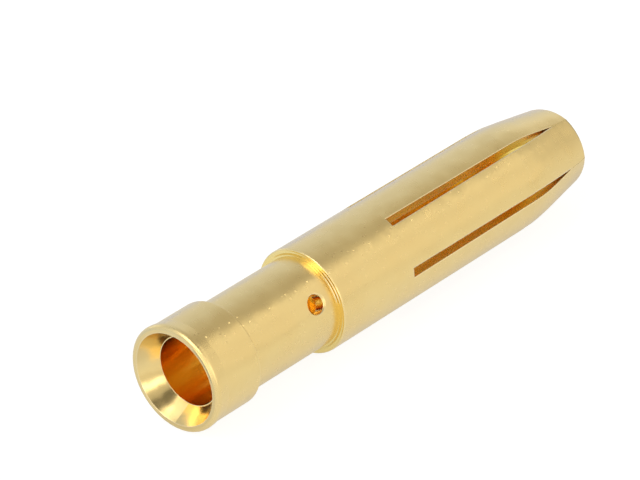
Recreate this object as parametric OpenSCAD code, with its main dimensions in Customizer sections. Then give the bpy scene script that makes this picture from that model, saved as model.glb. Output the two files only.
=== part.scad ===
// Crimp socket contact, turned from bar, drilled at both ends, slotted and closed in at the tip.
// Millimetres. It lies along X on the plane Z = 0, crimp end at the left, fingers at the right.
// Turns are degrees round the contact, from its top towards the front (-Y).

/* [Crimp collar] */
// Diameter of the lip round the mouth
lip_d = 4.5; // [4.3:0.05:4.8]
// Length of the lip along the contact
lip_len = 0.24; // [0.2:0.02:0.5]
// Rounding of the lip's outer edge
lip_round = 0.17; // [0.05:0.01:0.19]
// Length of the slope from the lip down to the collar
lip_slope_len = 0.45; // [0.05:0.05:0.6]
// Diameter of the collar
collar_d = 4.4; // [4.1:0.05:4.6]
// Distance from the crimp end to the collar's front corner
collar_len = 2.5; // [1.5:0.05:3.2]
// Rounding of the collar's front corner
collar_round = 0.06; // [0.04:0.01:0.3]
// Length of the slope from the collar down to the barrel
collar_slope_len = 0.15; // [0.1:0.05:0.6]

/* [Crimp barrel] */
// Diameter of the barrel
barrel_d = 3.88; // [3.6:0.02:4]
// Distance from the crimp end to the shoulder's face
barrel_len = 7.4; // [7.2:0.1:8.5]
// Diameter of the conductor bore
crimp_bore_d = 2.9; // [2.2:0.05:3.1]
// Distance from the crimp end to the end of the bore's straight wall
crimp_bore_depth = 7; // [6.9:0.05:7.5]
// Diameter of the funnel where it meets the end face
funnel_d = 3.92; // [3.5:0.02:4.1]
// Full angle of the funnel
funnel_angle = 62; // [45:1:90]
// Width of the flat ring where the funnel meets the bore
throat_ring = 0.03; // [0.02:0.01:0.1]
// Full angle of the drills' points
drill_point_angle = 118; // [90:1:140]

/* [Sight hole] */
// Diameter of the hole that shows the conductor's end
sight_hole_d = 0.8; // [0.5:0.05:1]
// Width of the bevel round the hole
sight_hole_bevel = 0.08; // [0.02:0.01:0.15]
// Distance from the crimp end to the hole's middle
sight_hole_at = 6.4; // [5.5:0.05:6.45]
// Turn of the hole
sight_hole_turn = 58; // [0:1:359]

/* [Socket body] */
// Diameter of the body
body_d = 4.5; // [4.3:0.05:4.8]
// Rounding of the shoulder's rim
shoulder_round = 0.07; // [0.05:0.01:0.15]
// Diameter of the socket bore
socket_bore_d = 3.3; // [3.2:0.05:3.5]
// Length of full round bore behind the slots
socket_bore_run = 1.1; // [0.5:0.1:1.5]

/* [Spring fingers] */
// Number of fingers, with a slot between each two
finger_count = 6; // [4:1:8]
// Distance from the shoulder's face to the end of the slots
slot_start = 4.25; // [4:0.05:6]
// Length of the slots up to the bend
slot_len = 7.8; // [5:0.05:9]
// Width of the slots at their rear end
slot_rear_w = 0.42; // [0.34:0.02:0.5]
// Width of the slots at the bend
slot_front_w = 0.35; // [0.3:0.01:0.4]
// Turn of the first slot
slot_turn = 24; // [0:1:59]
// Radius of the bend on the outside
bend_r = 9.5; // [7:0.5:14]
// Angle at which the fingers lean in
lean = 9.5; // [8.5:0.1:10.5]
// Length of a finger past its bend
nose_len = 2.55; // [2.3:0.05:3]
// Rounding of the fingers' outer edge at the tip
tip_round = 0.18; // [0.08:0.01:0.2]
// Gap left between fingers that have closed on each other
slit_w = 0.01; // [0.01:0.01:0.05]
// Depth to which the closing tool presses the fingers' skin
press_depth = 0.005; // [0.003:0.001:0.008]
// Diameter of the land that grips the pin
contact_d = 2.4; // [2.3:0.02:2.5]
// Width of the bevel that leads the pin in
lead_in = 0.15; // [0.05:0.01:0.2]

/* [Hidden] */
$fn = 96;
plating_colour = [0.89, 0.78, 0.52];
// Straight pieces that stand for each rounding of the turned outline
arc_steps = 6;
// Distance by which a cutter stands clear of what it cuts
clear = 0.5;
// Angle by which a bend starts inside the wall that carries it
root_angle = 0.6;

lip_r = lip_d / 2;
collar_r = collar_d / 2;
barrel_r = barrel_d / 2;
crimp_bore_r = crimp_bore_d / 2;
funnel_r = funnel_d / 2;
body_r = body_d / 2;
socket_bore_r = socket_bore_d / 2;
contact_r = contact_d / 2;

funnel_half = funnel_angle / 2;
throat_r = crimp_bore_r + throat_ring;
funnel_depth = (funnel_r - throat_r) / tan(funnel_half);
collar_slope = atan((collar_r - barrel_r) / collar_slope_len);
slot_at = barrel_len + slot_start;
bend_at = slot_at + slot_len;
socket_floor_at = slot_at - socket_bore_run;
finger_half = 180 / finger_count;
// Distance from the contact's axis to the line that a finger bends round
bend_axis = body_r - bend_r;
bend_sweep = lean + root_angle;
skin_r = body_r - press_depth;
tip_round_reach = bend_r - press_depth - tip_round;
length = bend_at + tip_round_reach * sin(lean) + (nose_len - tip_round) * cos(lean) + tip_round;
axis_height = max(lip_r, body_r);

// Points along an arc from one angle to another
function arc(centre, r, from, to) =
    [for (i = [0:arc_steps]) let (a = from + (to - from) * i / arc_steps) centre + r * [cos(a), sin(a)]];

// Depth of a drill's point for a hole of this radius
function point_depth(r) = r / tan(drill_point_angle / 2);

// Half section of the outside from the crimp end to the bend: radius, then distance from the crimp end
function outside() = concat(
    [[0, 0]],
    arc([lip_r - lip_round, lip_round], lip_round, -90, 0),
    [[lip_r, lip_len], [collar_r, lip_len + lip_slope_len]],
    arc([collar_r - collar_round, collar_len - collar_round * tan(collar_slope / 2)], collar_round,
        0, collar_slope),
    [[barrel_r, collar_len + collar_slope_len], [barrel_r, barrel_len]],
    arc([body_r - shoulder_round, barrel_len + shoulder_round], shoulder_round, -90, 0),
    [[body_r, bend_at], [0, bend_at]]);

// Half section of the funnel and the conductor bore
function crimp_bore() = [
    [0, -clear],
    [funnel_r + clear * tan(funnel_half), -clear],
    [throat_r, funnel_depth],
    [crimp_bore_r, funnel_depth],
    [crimp_bore_r, crimp_bore_depth],
    [0, crimp_bore_depth + point_depth(crimp_bore_r)]];

// Half section of the socket bore
function socket_bore() = [
    [0, socket_floor_at - point_depth(socket_bore_r)],
    [socket_bore_r, socket_floor_at],
    [socket_bore_r, bend_at + clear],
    [0, bend_at + clear]];

// Half section of the way in for the pin: gripping land and lead-in
function pin_way() = [
    [0, bend_at],
    [contact_r, bend_at],
    [contact_r, length - lead_in],
    [contact_r + lead_in + clear, length + clear],
    [0, length + clear]];

// Half section of a finger's nose before it is leaned in
function nose() = concat(
    [[socket_bore_r + press_depth, 0], [skin_r, 0]],
    arc([skin_r - tip_round, nose_len - tip_round], tip_round, 0, 90),
    [[socket_bore_r + press_depth, nose_len]]);

// Puts something at a turn round the contact
module at_turn(turn) {
    rotate([0, 0, 180 + turn]) children();
}

// Room for one finger between two slots of a width
module sector(gap) {
    reach = 2 * body_r;
    side = reach * [cos(finger_half), sin(finger_half)];
    translate([gap / 2 / sin(finger_half), 0]) polygon([[0, 0], [side.x, -side.y], side]);
}

// Section across a finger where it starts to bend
module finger_section() {
    intersection() {
        difference() {
            circle(r = skin_r);
            circle(r = socket_bore_r + press_depth);
        }
        sector(slot_front_w + 2 * press_depth);
    }
}

// Bend and nose of one finger, with the bend's centre line on Y and the nose straight up
module bent_finger() {
    rotate([90, 0, 0])
        rotate_extrude(angle = bend_sweep, start = -bend_sweep) translate([-bend_axis, 0]) finger_section();
    translate([-bend_axis, 0, 0]) intersection() {
        rotate_extrude() polygon(nose());
        linear_extrude(nose_len) sector(slot_front_w + 2 * press_depth);
    }
}

// One finger past the slots' straight run, leaned in and stopped where it meets its neighbours
module finger() {
    intersection() {
        translate([bend_axis, 0, bend_at]) rotate([0, -lean, 0]) bent_finger();
        translate([0, 0, bend_at - clear]) linear_extrude(length - bend_at + 2 * clear) sector(slit_w);
    }
}

// The slots narrow towards the bend, as the fingers are pressed together
module slot() {
    taper = (slot_rear_w - slot_front_w) / slot_len;
    rear = slot_rear_w / 2;
    front = (slot_front_w - taper * clear) / 2;
    far = bend_at + clear;
    rotate([90, 0, 90]) linear_extrude(body_d)
        polygon([[-rear, slot_at], [rear, slot_at], [front, far], [-front, far]]);
}

module sight_hole() {
    bevel_r = sight_hole_d / 2 + sight_hole_bevel;
    translate([0, 0, sight_hole_at]) rotate([0, 90, 0]) {
        cylinder(d = sight_hole_d, h = body_d);
        translate([0, 0, barrel_r - sight_hole_bevel])
            cylinder(r1 = sight_hole_d / 2, r2 = bevel_r + clear, h = sight_hole_bevel + clear);
    }
}

// Everything that is turned, drilled and sawn before the fingers are closed in
module sawn_body() {
    difference() {
        rotate_extrude() difference() {
            polygon(outside());
            polygon(crimp_bore());
            polygon(socket_bore());
        }
        for (i = [0:finger_count - 1]) at_turn(slot_turn + 2 * finger_half * i) slot();
        at_turn(sight_hole_turn) sight_hole();
    }
}

module socket_contact() {
    color(plating_colour) translate([-length / 2, 0, axis_height]) rotate([0, 90, 0]) difference() {
        union() {
            sawn_body();
            for (i = [0:finger_count - 1]) at_turn(slot_turn + finger_half * (2 * i + 1)) finger();
        }
        rotate_extrude() polygon(pin_way());
    }
}

socket_contact();
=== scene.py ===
# %% [markdown]
# # A gold-plated crimp socket contact
# The contact is one turned piece. Its left end is a funnelled barrel that is crimped on a wire, and its
# right end is slotted into six springy fingers that grip a pin. The solid comes in from the packed
# model at its real size, in metres, lying along X on the plane Z = 0. This lesson gives it a camera,
# a finish, a floor and light.

# %% Load the solid
import bpy
import math
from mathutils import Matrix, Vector


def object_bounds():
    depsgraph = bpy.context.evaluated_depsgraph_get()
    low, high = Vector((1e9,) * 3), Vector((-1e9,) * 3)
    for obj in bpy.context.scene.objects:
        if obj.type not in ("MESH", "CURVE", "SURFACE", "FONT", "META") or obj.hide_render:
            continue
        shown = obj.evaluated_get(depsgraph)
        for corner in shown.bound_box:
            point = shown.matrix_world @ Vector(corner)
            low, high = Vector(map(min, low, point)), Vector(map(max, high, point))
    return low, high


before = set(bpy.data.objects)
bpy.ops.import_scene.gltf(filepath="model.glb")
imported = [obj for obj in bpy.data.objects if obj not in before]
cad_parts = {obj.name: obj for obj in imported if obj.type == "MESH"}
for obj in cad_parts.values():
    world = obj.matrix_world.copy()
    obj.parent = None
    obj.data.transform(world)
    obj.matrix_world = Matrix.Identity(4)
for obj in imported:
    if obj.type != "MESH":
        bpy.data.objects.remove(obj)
cad_low, cad_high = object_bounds()
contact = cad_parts["socket_contact"]
MM = 0.001
print("contact, in mm:", [round(side / MM, 3) for side in cad_high - cad_low])

# %% [markdown]
# ## The camera
# The photograph was taken with a long lens from the crimp end, looking down at about thirty degrees.
# A camera can be aimed by eye, but a measured one is repeatable: the lens, the two viewing angles and
# the pixel that shows the middle of the crimp end, with its distance, fix the camera's place completely.

# %% Place the camera
PHOTO_W = 640
PHOTO_H = 480
SENSOR = 36.0
FOCAL_PX = 4000
AZIMUTH = math.radians(-49.34)
ELEVATION = math.radians(31.22)
CRIMP_END_PX = Vector((174.06, 380.06))
CRIMP_END_DEPTH = 152.2 * MM
CLIP_NEAR = 10 * MM
CLIP_FAR = 10

axis_height = (cad_low.z + cad_high.z) / 2
crimp_end = Vector((cad_low.x, 0, axis_height))
right = Vector((math.cos(AZIMUTH), math.sin(AZIMUTH), 0))
forward = Vector((-math.sin(AZIMUTH) * math.cos(ELEVATION),
                  math.cos(AZIMUTH) * math.cos(ELEVATION),
                  -math.sin(ELEVATION)))
down = forward.cross(right)
offset = (CRIMP_END_PX - Vector((PHOTO_W, PHOTO_H)) / 2) * CRIMP_END_DEPTH / FOCAL_PX

lens = bpy.data.cameras.new("camera")
lens.sensor_width = SENSOR
lens.lens = SENSOR * FOCAL_PX / PHOTO_W
lens.clip_start = CLIP_NEAR
lens.clip_end = CLIP_FAR
camera = bpy.data.objects.new("camera", lens)
camera.location = crimp_end - right * offset.x - down * offset.y - forward * CRIMP_END_DEPTH
camera.rotation_euler = forward.to_track_quat("-Z", "Y").to_euler()
bpy.context.scene.collection.objects.link(camera)
bpy.context.scene.camera = camera
print("camera at", [round(c / MM, 1) for c in camera.location], "mm, lens", round(lens.lens), "mm")

# %% [markdown]
# ## Two tools for materials
# Colours are easiest to write as the hex values of a picture program, but shaders work in linear light,
# so one function converts them. A node tree is a graph, and one more function adds a node together with
# its settings and the links that feed it.

# %% Colour and node tools
def linear(hex_colour):
    """Linear RGBA of an sRGB hex colour."""
    channels = [int(hex_colour[i:i + 2], 16) / 255 for i in (1, 3, 5)]
    return [c / 12.92 if c <= 0.04045 else ((c + 0.055) / 1.055) ** 2.4 for c in channels] + [1]


def add(tree, kind, inputs=None, **settings):
    """Add a node with its settings. Each input is a value, or an output of another node to link."""
    node = tree.nodes.new(kind)
    for name, value in settings.items():
        setattr(node, name, value)
    for key, value in (inputs or {}).items():
        named = [s for s in node.inputs if key in (s.name, s.identifier)]
        socket = named[0] if named else node.inputs[key]
        if isinstance(value, bpy.types.NodeSocket):
            tree.links.new(value, socket)
        else:
            socket.default_value = value
    return node


print("the grey #808080 is", round(linear("#808080")[0], 3), "in linear light")

# %% [markdown]
# ## Tumbled gold plate
# Small contacts are plated in a turning barrel, where they tumble over each other while the gold grows.
# The plate gives the eye a pale satin metal: soft bands of light along the outside, deep orange where gold
# mirrors gold in the bores and slots, pale lines on the rubbed edges, which are partly wear and partly a
# painted highlight, and a scatter of tiny flats that catch the light. A picture could be wrapped round the
# contact, but a finish that is worked out from the shape has no seams. So it first has to know its place:
# how far along the contact it is and how far from the axis, in millimetres, and which way the face looks.

# %% Gold plate: place on the contact
gold = bpy.data.materials.new("tumbled_gold_plate")
gold.use_nodes = True
tree = gold.node_tree
tree.nodes.clear()
place = add(tree, "ShaderNodeTexCoord").outputs
in_mm = add(tree, "ShaderNodeVectorMath", {0: place["Object"], "Scale": 1 / MM},
            operation="SCALE").outputs[0]
along = add(tree, "ShaderNodeSeparateXYZ", {0: in_mm}).outputs["X"]
from_axis = add(tree, "ShaderNodeVectorMath", {0: in_mm, 1: (0, 1, 1), 2: (0, 0, -axis_height / MM)},
                operation="MULTIPLY_ADD").outputs[0]
radius = add(tree, "ShaderNodeVectorMath", {0: from_axis}, operation="LENGTH").outputs["Value"]
outward = add(tree, "ShaderNodeVectorMath", {0: from_axis}, operation="NORMALIZE").outputs[0]
facing_out = add(tree, "ShaderNodeVectorMath", {0: outward, 1: place["Normal"]},
                 operation="DOT_PRODUCT").outputs["Value"]
facing = add(tree, "ShaderNodeSeparateXYZ", {0: place["Normal"]}).outputs
facing_end = facing["X"]
facing_back = facing["Y"]
print("gold plate knows the axis, at height", round(axis_height / MM, 3), "mm")

# %% [markdown]
# Tumbling reaches the outside and the open end, and not much else. Two masks say so. The skin is what
# looks away from the axis, and the exposed faces are the skin together with the lip and the funnel.

# %% Gold plate: what tumbling reaches
FUNNEL_DEPTH = 0.8
MASK_EDGE = 0.02
SKIN_FROM = 0.2
SKIN_FULL = 0.7
funnel_end = cad_low.x / MM + FUNNEL_DEPTH
skin = add(tree, "ShaderNodeMapRange", {"Value": facing_out, "From Min": SKIN_FROM,
                                        "From Max": SKIN_FULL},
           interpolation_type="SMOOTHSTEP").outputs[0]
exposed = add(tree, "ShaderNodeMapRange", {"Value": along, "From Min": funnel_end - MASK_EDGE,
                                           "From Max": funnel_end, "To Min": 1,
                                           "To Max": skin}).outputs[0]
print("the funnel ends at", round(funnel_end, 3), "mm along the contact")

# %% [markdown]
# Roughness says how much a mirror image blurs. The outside is an uneven satin, which a soft noise gives,
# and the funnel is a little scuffed. The bores are as bright as the drill left them, and the slots keep
# the grain of the saw. A sawn wall looks neither along the contact nor away from its axis, so the squares
# of those two shares of its normal add up to little. That is how the finish tells it from a drilled one.

# %% Gold plate: satin outside, bright inside
PATCH_SIZE = 1.4
PATCH_LOW = 0.3
PATCH_HIGH = 0.7
SATIN_LOW = 0.26
SATIN_HIGH = 0.34
SCUFFED = 0.22
DRILLED = 0.16
SAWN = 0.26
SAWN_SHARE = 0.3
DRILLED_SHARE = 0.6
patches = add(tree, "ShaderNodeTexNoise", {"Vector": in_mm, "Scale": 1 / PATCH_SIZE,
                                           "Detail": 3}).outputs[0]
satin = add(tree, "ShaderNodeMapRange", {"Value": patches, "From Min": PATCH_LOW, "From Max": PATCH_HIGH,
                                         "To Min": SATIN_LOW, "To Max": SATIN_HIGH}).outputs[0]
end_share = add(tree, "ShaderNodeMath", {0: facing_end, 1: facing_end}, operation="MULTIPLY").outputs[0]
turned_share = add(tree, "ShaderNodeMath", {0: facing_out, 1: facing_out, 2: end_share},
                   operation="MULTIPLY_ADD").outputs[0]
cut = add(tree, "ShaderNodeMapRange", {"Value": turned_share, "From Min": SAWN_SHARE,
                                       "From Max": DRILLED_SHARE, "To Min": SAWN,
                                       "To Max": DRILLED}).outputs[0]
inner = add(tree, "ShaderNodeMapRange", {"Value": along, "From Min": funnel_end - MASK_EDGE,
                                         "From Max": funnel_end, "To Min": SCUFFED,
                                         "To Max": cut}).outputs[0]
tumbled = add(tree, "ShaderNodeMapRange", {"Value": skin, "To Min": inner, "To Max": satin}).outputs[0]
print("roughness", SATIN_LOW, "to", SATIN_HIGH, "outside,", DRILLED, "in the bores")

# %% [markdown]
# No real edge is perfectly sharp. A Bevel node bends the shading normal over a few hundredths of a
# millimetre, so that an edge catches a line of light without any more faces. It would bend inner corners
# too, and those stay sharp on a turned part, so it is mixed in only where an edge stands out. An Ambient
# Occlusion node that looks into the metal finds such places: there a short ray soon comes out again.

# %% Gold plate: soft edges
TURNED_EDGE = 0.03 * MM
SAWN_EDGE = 0.08 * MM
SAWN_FROM = 0
SAWN_BLEND = 0.5
BEVEL_SAMPLES = 6
THIN_REACH = 0.07 * MM
THIN_SAMPLES = 8
FLAT_LEVEL = 0.99
EDGE_LEVEL = 0.85
edge_radius = add(tree, "ShaderNodeMapRange", {"Value": along, "From Min": SAWN_FROM - SAWN_BLEND,
                                               "From Max": SAWN_FROM, "To Min": TURNED_EDGE,
                                               "To Max": SAWN_EDGE}).outputs[0]
rounded = add(tree, "ShaderNodeBevel", {"Radius": edge_radius}, samples=BEVEL_SAMPLES).outputs[0]
thick = add(tree, "ShaderNodeAmbientOcclusion", {"Distance": THIN_REACH}, samples=THIN_SAMPLES,
            inside=True, only_local=True).outputs["AO"]
stands_out = add(tree, "ShaderNodeMapRange", {"Value": thick, "From Min": FLAT_LEVEL,
                                              "From Max": EDGE_LEVEL}).outputs[0]
true_normal = add(tree, "ShaderNodeNewGeometry").outputs["Normal"]
soft_normal = add(tree, "ShaderNodeMix", {"Factor": stands_out, "A_Vector": true_normal,
                                          "B_Vector": rounded}, data_type="VECTOR").outputs[1]
print("edges rounded by", TURNED_EDGE / MM, "and", SAWN_EDGE / MM, "mm for the eye")

# %% [markdown]
# Tumbling rubs an edge most, and the plate is palest there. That pale colour is partly this wear and
# partly a painted highlight, the line of light that an edge catches. The same search into the metal gives
# the rubbed edges. Edges inside the bores are out of reach, and so are the slits at the tips, where the
# fingers are closed on each other.

# %% Gold plate: rubbed edges, with a painted highlight
RUB_FROM = 0.96
RUB_FULL = 0.7
BORE_REACH = 1.7
CLOSED_AT = 10.6
CLOSING_RUN = 0.2
worn_and_highlit = add(tree, "ShaderNodeMapRange", {"Value": thick, "From Min": RUB_FROM, "From Max": RUB_FULL},
           interpolation_type="SMOOTHSTEP").outputs[0]
outer = add(tree, "ShaderNodeMapRange", {"Value": radius, "From Min": BORE_REACH - MASK_EDGE,
                                         "From Max": BORE_REACH}).outputs[0]
in_reach = add(tree, "ShaderNodeMapRange", {"Value": along, "From Min": funnel_end,
                                            "From Max": funnel_end + MASK_EDGE, "To Min": 1,
                                            "To Max": outer}).outputs[0]
open_edges = add(tree, "ShaderNodeMath", {0: worn_and_highlit, 1: in_reach}, operation="MULTIPLY").outputs[0]
# pale edges: partly wear, partly a painted highlight
rubbed_and_highlit = add(tree, "ShaderNodeMapRange", {"Value": along, "From Min": CLOSED_AT - CLOSING_RUN,
                                          "From Max": CLOSED_AT, "To Min": open_edges,
                                          "To Max": 0}).outputs[0]
print("edges are rubbed as far as", CLOSED_AT, "mm along the contact")

# %% [markdown]
# Parts that tumble together knock tiny flats on each other. Each is a little mirror that leans its own
# way, and beside a bright band some of them flash. Voronoi cells scatter them, and the random colour of
# a cell gives the lean. The real ones are finer. These are drawn large enough for a pixel to hold one.
# Only those on the front side lean, and only to the front: at this size a flat that went dark would look
# like dirt.

# %% Gold plate: tumbling marks
MARK_SPACING = 0.23
MARK_RADIUS = 0.045
MARK_CORE = 0.8
MARK_LEAN = 0.2
MARK_ROUGHNESS = 0.16
FRONT_FROM = -0.2
FRONT_FULL = -0.4
cells = add(tree, "ShaderNodeTexVoronoi", {"Vector": in_mm, "Scale": 1 / MARK_SPACING}).outputs
flat = add(tree, "ShaderNodeMapRange", {"Value": cells["Distance"],
                                        "From Min": MARK_RADIUS / MARK_SPACING,
                                        "From Max": MARK_CORE * MARK_RADIUS / MARK_SPACING},
           interpolation_type="SMOOTHSTEP").outputs[0]
mark = add(tree, "ShaderNodeMath", {0: flat, 1: skin}, operation="MULTIPLY").outputs[0]
own_lean = add(tree, "ShaderNodeVectorMath", {0: cells["Color"], 1: (MARK_LEAN / 2, -MARK_LEAN, 0),
                                              2: (-MARK_LEAN / 4, 0, 0)},
               operation="MULTIPLY_ADD").outputs[0]
at_front = add(tree, "ShaderNodeMapRange", {"Value": facing_back, "From Min": FRONT_FROM,
                                            "From Max": FRONT_FULL, "To Max": mark}).outputs[0]
mark_lean = add(tree, "ShaderNodeVectorMath", {0: own_lean, "Scale": at_front},
                operation="SCALE").outputs[0]
roughness = add(tree, "ShaderNodeMapRange", {"Value": mark, "To Min": tumbled,
                                             "To Max": MARK_ROUGHNESS}).outputs[0]
print("marks", 2 * MARK_RADIUS, "mm across lean up to", round(math.degrees(MARK_LEAN)), "degrees")

# %% [markdown]
# A tumbled face is never quite true, and soft waves bend the bands of light on it. Tools that were drawn
# back out left lines along the bores and slots. Both are noise that leans the normal, since neither is
# deep enough to show on the outline, and the lines are noise that is stretched along X. Real tool lines
# are a few hundredths of a millimetre apart. They are drawn coarser here, so that they show.

# %% Gold plate: waves and tool lines
WAVE_SIZE = 0.7
LINE_SIZE = 0.15
LINE_STRETCH = 30
SWAY = 0.14
waves = add(tree, "ShaderNodeTexNoise", {"Vector": in_mm, "Scale": 1 / WAVE_SIZE, "Detail": 2})
drawn_out = add(tree, "ShaderNodeVectorMath", {0: in_mm, 1: (1 / LINE_STRETCH, 1, 1)},
                operation="MULTIPLY").outputs[0]
lines = add(tree, "ShaderNodeTexNoise", {"Vector": drawn_out, "Scale": 1 / LINE_SIZE, "Detail": 2})
uneven = add(tree, "ShaderNodeMix", {"Factor": exposed, "A_Color": lines.outputs["Color"],
                                     "B_Color": waves.outputs["Color"]}, data_type="RGBA").outputs[2]
sway = add(tree, "ShaderNodeVectorMath", {0: uneven, 1: (SWAY, SWAY, SWAY),
                                          2: (-SWAY / 2, -SWAY / 2, -SWAY / 2)},
           operation="MULTIPLY_ADD").outputs[0]
print("waves of", WAVE_SIZE, "mm outside, lines of", LINE_SIZE, "mm inside")

# %% [markdown]
# The facing tool left rings on the shoulder. A sine of the radius leans the normal in and out, and a mask
# keeps it to faces that look to the crimp end and lie outside the barrel. On the upper front, where the
# tool chattered, the lean is greater. The rings too are drawn coarser than the real ones, so that they
# show.

# %% Gold plate: turning rings on the shoulder
RING_SPACING = 0.16
RING_LEAN = 0.22
CHATTER_LEAN = 0.7
CHATTER_TURN = math.radians(50)
CHATTER_FROM = 0.92
CHATTER_FULL = 0.98
FACED_FROM = 1.93
REAR_FROM = -0.8
REAR_FULL = -0.95
to_rear = add(tree, "ShaderNodeMapRange", {"Value": facing_end, "From Min": REAR_FROM,
                                           "From Max": REAR_FULL}).outputs[0]
faced = add(tree, "ShaderNodeMapRange", {"Value": radius, "From Min": FACED_FROM,
                                         "From Max": FACED_FROM + MASK_EDGE,
                                         "To Max": to_rear}).outputs[0]
turns = add(tree, "ShaderNodeMath", {0: radius, 1: 2 * math.pi / RING_SPACING},
            operation="MULTIPLY").outputs[0]
ripple = add(tree, "ShaderNodeMath", {0: turns}, operation="SINE").outputs[0]
chatter_way = Vector((0, -math.sin(CHATTER_TURN), math.cos(CHATTER_TURN)))
chatter = add(tree, "ShaderNodeVectorMath", {0: outward, 1: chatter_way},
              operation="DOT_PRODUCT").outputs["Value"]
steep = add(tree, "ShaderNodeMapRange", {"Value": chatter, "From Min": CHATTER_FROM,
                                         "From Max": CHATTER_FULL, "To Min": RING_LEAN,
                                         "To Max": CHATTER_LEAN}).outputs[0]
depth = add(tree, "ShaderNodeMath", {0: faced, 1: steep}, operation="MULTIPLY").outputs[0]
ring = add(tree, "ShaderNodeMath", {0: ripple, 1: depth}, operation="MULTIPLY").outputs[0]
ring_lean = add(tree, "ShaderNodeVectorMath", {0: outward, "Scale": ring}, operation="SCALE").outputs[0]
print("rings", RING_SPACING, "mm apart on the shoulder")

# %% [markdown]
# Deep grooves trap light, which a leaned normal alone does not show. So where the rings are deep, their
# grooves get a painted shade in a darker gold and their crests a painted highlight in a paler one.

# %% Gold plate: painted shade and highlight of the rings
SHOULDER_GOLD = "#FEE494"
# painted highlight on the crests and painted shade in the grooves of the deep rings
CREST_HIGHLIGHT_GOLD = "#FFF8DC"
GROOVE_SHADE_GOLD = "#A87A30"
groove_shade_share = add(tree, "ShaderNodeMapRange", {"Value": ring, "From Min": -RING_LEAN,
                                             "From Max": -CHATTER_LEAN}).outputs[0]
crest_highlight_share = add(tree, "ShaderNodeMapRange", {"Value": ring, "From Min": RING_LEAN,
                                            "From Max": CHATTER_LEAN}).outputs[0]
crest_highlight = add(tree, "ShaderNodeMix", {"Factor": crest_highlight_share, "A_Color": linear(SHOULDER_GOLD),
                                    "B_Color": linear(CREST_HIGHLIGHT_GOLD)}, data_type="RGBA").outputs[2]
ring_shade_and_highlight = add(tree, "ShaderNodeMix", {"Factor": groove_shade_share, "A_Color": crest_highlight,
                                     "B_Color": linear(GROOVE_SHADE_GOLD)}, data_type="RGBA").outputs[2]
print("deep rings lean up to", round(math.degrees(math.atan(CHATTER_LEAN))), "degrees")

# %% [markdown]
# The leans are small vectors. Added to the soft normal and brought back to unit length, they turn it.

# %% Gold plate: one normal
uneven_lean = add(tree, "ShaderNodeVectorMath", {0: mark_lean, 1: sway}, operation="ADD").outputs[0]
whole_lean = add(tree, "ShaderNodeVectorMath", {0: uneven_lean, 1: ring_lean}, operation="ADD").outputs[0]
leaned = add(tree, "ShaderNodeVectorMath", {0: soft_normal, 1: whole_lean}, operation="ADD").outputs[0]
normal = add(tree, "ShaderNodeVectorMath", {0: leaned}, operation="NORMALIZE").outputs[0]
print("one normal joins edges, marks, waves, lines and rings")

# %% [markdown]
# The colour of a metal is the colour of its mirror image. Inside, where nothing rubs it, the plate is a
# full gold, and light that bounces there several times turns orange by itself. The bottom of the crimp
# bore is drawn much paler, to give the light that the photograph shows through the sight hole.

# %% Gold plate: colour inside
BORE_GOLD = "#F1CD7C"
BOTTOM_GOLD = "#FFFAE8"
BOTTOM_AT = -6.1
BOTTOM_BLEND = 0.2
SOCKET_GOLD = "#F9DF85"
SOCKET_AT = -4.5
SOCKET_BLEND = 0.1
at_bottom = add(tree, "ShaderNodeMapRange", {"Value": along, "From Min": BOTTOM_AT - BOTTOM_BLEND,
                                             "From Max": BOTTOM_AT + BOTTOM_BLEND}).outputs[0]
in_socket = add(tree, "ShaderNodeMapRange", {"Value": along, "From Min": SOCKET_AT - SOCKET_BLEND,
                                             "From Max": SOCKET_AT + SOCKET_BLEND}).outputs[0]
bore = add(tree, "ShaderNodeMix", {"Factor": at_bottom, "A_Color": linear(BORE_GOLD),
                                   "B_Color": linear(BOTTOM_GOLD)}, data_type="RGBA").outputs[2]
hollow = add(tree, "ShaderNodeMix", {"Factor": in_socket, "A_Color": bore,
                                     "B_Color": linear(SOCKET_GOLD)}, data_type="RGBA").outputs[2]
# the shoulder takes the rings' painted shade and painted highlight
full = add(tree, "ShaderNodeMix", {"Factor": faced, "A_Color": hollow, "B_Color": ring_shade_and_highlight},
           data_type="RGBA").outputs[2]
print("gold", BORE_GOLD, "in the crimp bore,", SOCKET_GOLD, "in the socket")

# %% [markdown]
# Outside, the plate is pale with rub and lightly patchy, and palest on edges and marks. On both, that
# palest colour is partly wear and partly a painted highlight, a glint on the marks. Everything then goes
# into one Principled shader. With Metallic at 1 it has no other colour than that of its mirror image.

# %% Gold plate: colour outside, and the shader
PALE_GOLD = "#EACE8E"
PALER_GOLD = "#F3DC9E"
# pale edge colour: partly wear, partly a painted highlight
EDGE_WEAR_AND_HIGHLIGHT_GOLD = "#FBE7B4"
# marks drawn paler: partly burnish, partly a painted glint
MARK_BURNISH_AND_GLINT = 0.08
pale = add(tree, "ShaderNodeMix", {"Factor": patches, "A_Color": linear(PALE_GOLD),
                                   "B_Color": linear(PALER_GOLD)}, data_type="RGBA").outputs[2]
plate = add(tree, "ShaderNodeMix", {"Factor": exposed, "A_Color": full, "B_Color": pale},
            data_type="RGBA").outputs[2]
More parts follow.
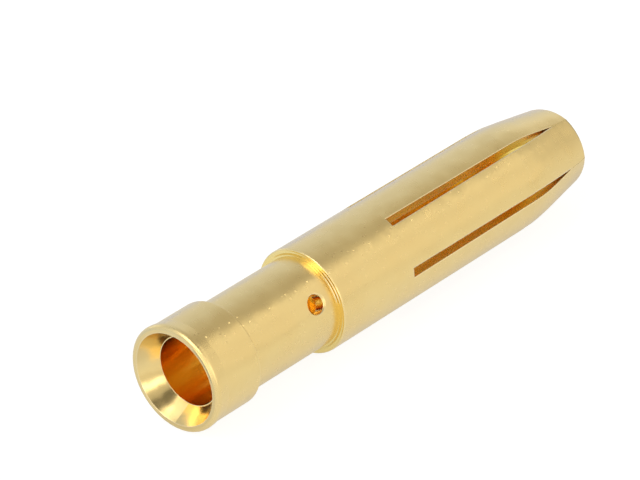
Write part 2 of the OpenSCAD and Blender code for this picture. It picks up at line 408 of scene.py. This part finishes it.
# paler on marks and rubbed edges: partly wear, partly painted highlight and glint
wear_and_painted_highlight = add(tree, "ShaderNodeMath", {0: mark, 1: MARK_BURNISH_AND_GLINT, 2: rubbed_and_highlit}, operation="MULTIPLY_ADD",
                use_clamp=True).outputs[0]
colour = add(tree, "ShaderNodeMix", {"Factor": wear_and_painted_highlight, "A_Color": plate,
                                     "B_Color": linear(EDGE_WEAR_AND_HIGHLIGHT_GOLD)}, data_type="RGBA").outputs[2]
shader = add(tree, "ShaderNodeBsdfPrincipled", {"Base Color": colour, "Metallic": 1,
                                                "Roughness": roughness, "Normal": normal})
add(tree, "ShaderNodeOutputMaterial", {"Surface": shader.outputs[0]})
contact.material_slots[0].material = gold
print("gold plate has", len(tree.nodes), "nodes")

# %% [markdown]
# ## The floor
# A plain sheet of white paper, large enough to fill every view. It could be a plane from the Add menu.
# A mesh of one face, made from its four corners, is as short and depends on nothing that is selected.

# %% Lay the floor
FLOOR_HALF = 1.5
sheet = bpy.data.meshes.new("floor")
corners = [(-FLOOR_HALF, -FLOOR_HALF, 0), (FLOOR_HALF, -FLOOR_HALF, 0),
           (FLOOR_HALF, FLOOR_HALF, 0), (-FLOOR_HALF, FLOOR_HALF, 0)]
sheet.from_pydata(corners, [], [(0, 1, 2, 3)])
floor = bpy.data.objects.new("floor", sheet)
floor.location.z = cad_low.z
bpy.context.scene.collection.objects.link(floor)
print("floor is", 2 * FLOOR_HALF, "m wide")

# %% [markdown]
# Uncoated white paper gives the eye an even matt white. The gold mirrors it, and for mirror rays the paper
# has a glow of its own, painted light that stands in for the light on the paper. Its colour is warm in
# front, cool behind and coolest behind at the right.

# %% White paper: painted light in the mirror
# colours of the painted light that mirror rays see on the paper
PAINTED_LIGHT_WARM = "#DFDDD4"
PAINTED_LIGHT_COOL = "#B3C3E8"
PAINTED_LIGHT_COOLEST = "#B3C6FF"
FRONT_EDGE = -10 * MM
FAR_EDGE = 24 * MM
COOLER_FROM = 3 * MM
COOLEST_FROM = 12 * MM
paper = bpy.data.materials.new("white_paper")
paper.use_nodes = True
tree = paper.node_tree
tree.nodes.clear()
on_floor = add(tree, "ShaderNodeTexCoord").outputs["Object"]
spot = add(tree, "ShaderNodeSeparateXYZ", {0: on_floor}).outputs
behind = add(tree, "ShaderNodeMapRange", {"Value": spot["Y"], "From Min": FRONT_EDGE,
                                          "From Max": FAR_EDGE}).outputs[0]
far_right = add(tree, "ShaderNodeMapRange", {"Value": spot["X"], "From Min": COOLER_FROM,
                                             "From Max": COOLEST_FROM}).outputs[0]
cool = add(tree, "ShaderNodeMix", {"Factor": far_right, "A_Color": linear(PAINTED_LIGHT_COOL),
                                   "B_Color": linear(PAINTED_LIGHT_COOLEST)}, data_type="RGBA").outputs[2]
shade = add(tree, "ShaderNodeMix", {"Factor": behind, "A_Color": linear(PAINTED_LIGHT_WARM),
                                    "B_Color": cool}, data_type="RGBA").outputs[2]
print("mirrored paper fades from", PAINTED_LIGHT_WARM, "to", PAINTED_LIGHT_COOL, "and", PAINTED_LIGHT_COOLEST)

# %% [markdown]
# The mirrored glow is a little dimmer at the right, and right under the contact, where the paper in the
# studio lies in shade: a painted shade at the right and a painted shadow under the contact. The Light Path
# node tells mirror rays from those of the camera.

# %% White paper: painted shade and shadow in the mirror
# painted shade at the right and painted shadow under the contact, for mirror rays only
PAINTED_SHADE_RIGHT = 0.88
PAINTED_SHADOW_UNDER = 0.8
SHADE_CORE = 0.5 * MM
SHADE_EDGE = 2.5 * MM
ray = add(tree, "ShaderNodeLightPath").outputs
to_right = add(tree, "ShaderNodeMapRange", {"Value": spot["X"], "From Max": FAR_EDGE, "To Min": 1,
                                            "To Max": PAINTED_SHADE_RIGHT}).outputs[0]
aside = add(tree, "ShaderNodeMath", {0: spot["Y"]}, operation="ABSOLUTE").outputs[0]
under = add(tree, "ShaderNodeMapRange", {"Value": aside, "From Min": SHADE_CORE, "From Max": SHADE_EDGE,
                                         "To Min": PAINTED_SHADOW_UNDER, "To Max": 1}).outputs[0]
painted_shade_and_shadow = add(tree, "ShaderNodeMath", {0: to_right, 1: under}, operation="MULTIPLY").outputs[0]
is_mirror = add(tree, "ShaderNodeMath", {0: ray["Is Glossy Ray"], 1: ray["Is Transmission Ray"]},
                operation="MAXIMUM").outputs[0]
mirrored = add(tree, "ShaderNodeMath", {0: is_mirror, 1: painted_shade_and_shadow}, operation="MULTIPLY").outputs[0]
print("mirrored paper dims to", PAINTED_SHADE_RIGHT, "at the right and", PAINTED_SHADOW_UNDER, "under the contact")

# %% [markdown]
# For the camera the paper glows almost white by itself, and the light that it scatters is added to that.
# So it reads as a white background and keeps a faint shadow, and the contact gets no more light for it.

# %% White paper: what the camera sees
PAPER = "#868685"
WHITE = "#FFFFFF"
CAMERA_GLOW = 0.86
seen = add(tree, "ShaderNodeMath", {0: ray["Is Camera Ray"], 1: CAMERA_GLOW},
           operation="MULTIPLY").outputs[0]
matt = add(tree, "ShaderNodeBsdfDiffuse", {"Color": linear(PAPER)})
to_camera = add(tree, "ShaderNodeEmission", {"Color": linear(WHITE), "Strength": seen})
to_mirror = add(tree, "ShaderNodeEmission", {"Color": shade, "Strength": mirrored})
glow = add(tree, "ShaderNodeAddShader", {0: to_camera.outputs[0], 1: to_mirror.outputs[0]})
both = add(tree, "ShaderNodeAddShader", {0: matt.outputs[0], 1: glow.outputs[0]})
add(tree, "ShaderNodeOutputMaterial", {"Surface": both.outputs[0]})
sheet.materials.append(paper)
print("paper glows", CAMERA_GLOW, "of white for the camera")

# %% [markdown]
# ## Light
# A metal shows its surroundings, so the light is a small studio. First comes a tent, bright at the
# horizon and dimmer overhead. A bright arch stands in it over the front, across the contact, and draws
# the lights on the rims.

# %% Raise the tent
HORIZON = 0.79
ZENITH = 0.41
ARCH = 1.6
ARCH_FROM = -0.2
ARCH_FULL = -0.4
ARCH_CORE = 0.08
ARCH_EDGE = 0.2
world = bpy.data.worlds.new("tent")
bpy.context.scene.world = world
world.use_nodes = True
tree = world.node_tree
tree.nodes.clear()
direction = add(tree, "ShaderNodeTexCoord").outputs["Generated"]
way = add(tree, "ShaderNodeSeparateXYZ", {0: direction}).outputs
overhead = add(tree, "ShaderNodeMath", {0: way["Z"], 1: way["Z"]}, operation="MULTIPLY").outputs[0]
wall = add(tree, "ShaderNodeMapRange", {"Value": overhead, "To Min": HORIZON,
                                        "To Max": ZENITH}).outputs[0]
in_front = add(tree, "ShaderNodeMapRange", {"Value": way["Y"], "From Min": ARCH_FROM,
                                            "From Max": ARCH_FULL, "To Min": wall,
                                            "To Max": ARCH}).outputs[0]
off_arch = add(tree, "ShaderNodeMath", {0: way["X"]}, operation="ABSOLUTE").outputs[0]
level = add(tree, "ShaderNodeMapRange", {"Value": off_arch, "From Min": ARCH_CORE, "From Max": ARCH_EDGE,
                                         "To Min": in_front, "To Max": wall},
            interpolation_type="SMOOTHSTEP").outputs[0]
print("tent level", HORIZON, "at the horizon,", ZENITH, "overhead")

# %% [markdown]
# Panels and gaps in the tent are soft round patches, each with a place, an inner and an outer angle and a
# level. The angle between two unit vectors comes from their dot product, so a patch needs only two nodes
# to draw and one to mix in. Panels at the left light the shoulder and the sight hole, and the dark camera
# stands among them. The gaps draw the dark sector of the funnel, the dark band of the body and a line at
# the collar's corner. Low panels at the back and right light the upper outline and the fingers.

# %% Panels and gaps in the tent
def towards(azimuth, elevation):
    """Unit vector that points from the contact to a place in the studio, azimuth 0 being the front."""
    a = math.radians(azimuth)
    e = math.radians(elevation)
    return Vector((math.sin(a) * math.cos(e), -math.cos(a) * math.cos(e), math.sin(e)))


def patch(name, azimuth, elevation, core, fade, radiance):
    """Tent level with one more soft round patch: core and fade are its inner and outer angles."""
    near = add(tree, "ShaderNodeVectorMath", {0: direction, 1: towards(azimuth, elevation)},
               operation="DOT_PRODUCT").outputs["Value"]
    share = add(tree, "ShaderNodeMapRange", {"Value": near, "From Min": math.cos(math.radians(fade)),
                                             "From Max": math.cos(math.radians(core))},
                interpolation_type="SMOOTHSTEP").outputs[0]
    print(name, "at", azimuth, "and", elevation, "degrees, level", radiance)
    return add(tree, "ShaderNodeMapRange", {"Value": share, "To Min": level,
                                            "To Max": radiance}).outputs[0]


level = patch("left_panel", azimuth=-91, elevation=47, core=14, fade=26, radiance=3.3)
level = patch("camera_panel", azimuth=-55, elevation=20, core=14, fade=26, radiance=1.7)
level = patch("camera_gap", azimuth=-49, elevation=31, core=4, fade=8, radiance=0.3)
level = patch("gap_over_camera", azimuth=-53, elevation=63, core=10, fade=17.5, radiance=0.1)
level = patch("back_panel", azimuth=175, elevation=12, core=8, fade=18, radiance=1.15)
level = patch("right_gap", azimuth=93, elevation=41, core=5, fade=13, radiance=0.46)
level = patch("low_right_gap", azimuth=90, elevation=4, core=10, fade=20, radiance=0.12)
level = patch("back_right_panel", azimuth=119, elevation=20, core=4, fade=12, radiance=0.92)
level = patch("right_panel", azimuth=74, elevation=25, core=5, fade=12, radiance=0.86)

# %% [markdown]
# The lamps in front are warm, and the back of the studio takes cooler and slightly stronger light from
# outside. That is why the upper side of the contact looks a touch blue.

# %% Tint the tent
WARM_LIGHT = "#FFF9EB"
COOL_LIGHT = "#F2F7FF"
COOL_FROM = 0.15
COOL_FULL = 0.55
COOL_GAIN = 1.16
to_back = add(tree, "ShaderNodeMapRange", {"Value": way["Y"], "From Min": COOL_FROM,
                                           "From Max": COOL_FULL}).outputs[0]
tint = add(tree, "ShaderNodeMix", {"Factor": to_back, "A_Color": linear(WARM_LIGHT),
                                   "B_Color": linear(COOL_LIGHT)}, data_type="RGBA").outputs[2]
gain = add(tree, "ShaderNodeMapRange", {"Value": to_back, "To Min": 1, "To Max": COOL_GAIN}).outputs[0]
strength = add(tree, "ShaderNodeMath", {0: level, 1: gain}, operation="MULTIPLY").outputs[0]
tent = add(tree, "ShaderNodeBackground", {"Color": tint, "Strength": strength})
add(tree, "ShaderNodeOutputWorld", {"Surface": tent.outputs[0]})
print("tent has", len(tree.nodes), "nodes")

# %% [markdown]
# Soft boxes add to the tent. The wide front box and the key box over it lay the broad bright band along
# the contact, and the key box's right edge is where the band ends. A thin upright strip beside that edge
# makes the tumbling marks flash, and two small boxes light the funnel. A lamp of this shape in Cycles
# shines with a quarter of its watts per square metre, so the radiance sets the watts.

# %% Hang the soft boxes
BOX_DISTANCE = 0.5
WATTS_PER_RADIANCE = 4


def soft_box(name, azimuth, elevation, width, height, radiance):
    """A rectangular lamp that faces the contact and adds a radiance to the tent behind it."""
    lamp = bpy.data.lights.new(name, "AREA")
    lamp.shape = "RECTANGLE"
    lamp.size = width
    lamp.size_y = height
    lamp.energy = WATTS_PER_RADIANCE * radiance * width * height
    lamp.color = linear(WARM_LIGHT)[:3]
    box = bpy.data.objects.new(name, lamp)
    out = towards(azimuth, elevation)
    box.location = Vector((0, 0, axis_height)) + out * BOX_DISTANCE
    box.rotation_euler = out.to_track_quat("Z", "Y").to_euler()
    box.visible_camera = False
    bpy.context.scene.collection.objects.link(box)
    print(name, "gives", round(lamp.energy, 3), "W")


soft_box("front_box", azimuth=20, elevation=18.5, width=0.78, height=0.26, radiance=0.17)
soft_box("key_box", azimuth=37, elevation=47, width=0.36, height=0.27, radiance=0.29)
soft_box("strip_box", azimuth=62, elevation=44, width=0.012, height=0.2, radiance=1.2)
soft_box("left_box", azimuth=-23, elevation=24, width=0.12, height=0.14, radiance=1.6)
soft_box("top_box", azimuth=-128, elevation=66, width=0.22, height=0.22, radiance=0.7)

# %% [markdown]
# ## Render settings
# Light in the bores bounces many times from gold to gold, and every bounce deepens the orange, so more
# mirror bounces than usual are allowed. The Standard view shows colours as they are written.

# %% Set bounces and view
MIRROR_BOUNCES = 12
bpy.context.scene.cycles.glossy_bounces = MIRROR_BOUNCES
bpy.context.scene.view_settings.view_transform = "Standard"
print("mirror bounces:", MIRROR_BOUNCES)
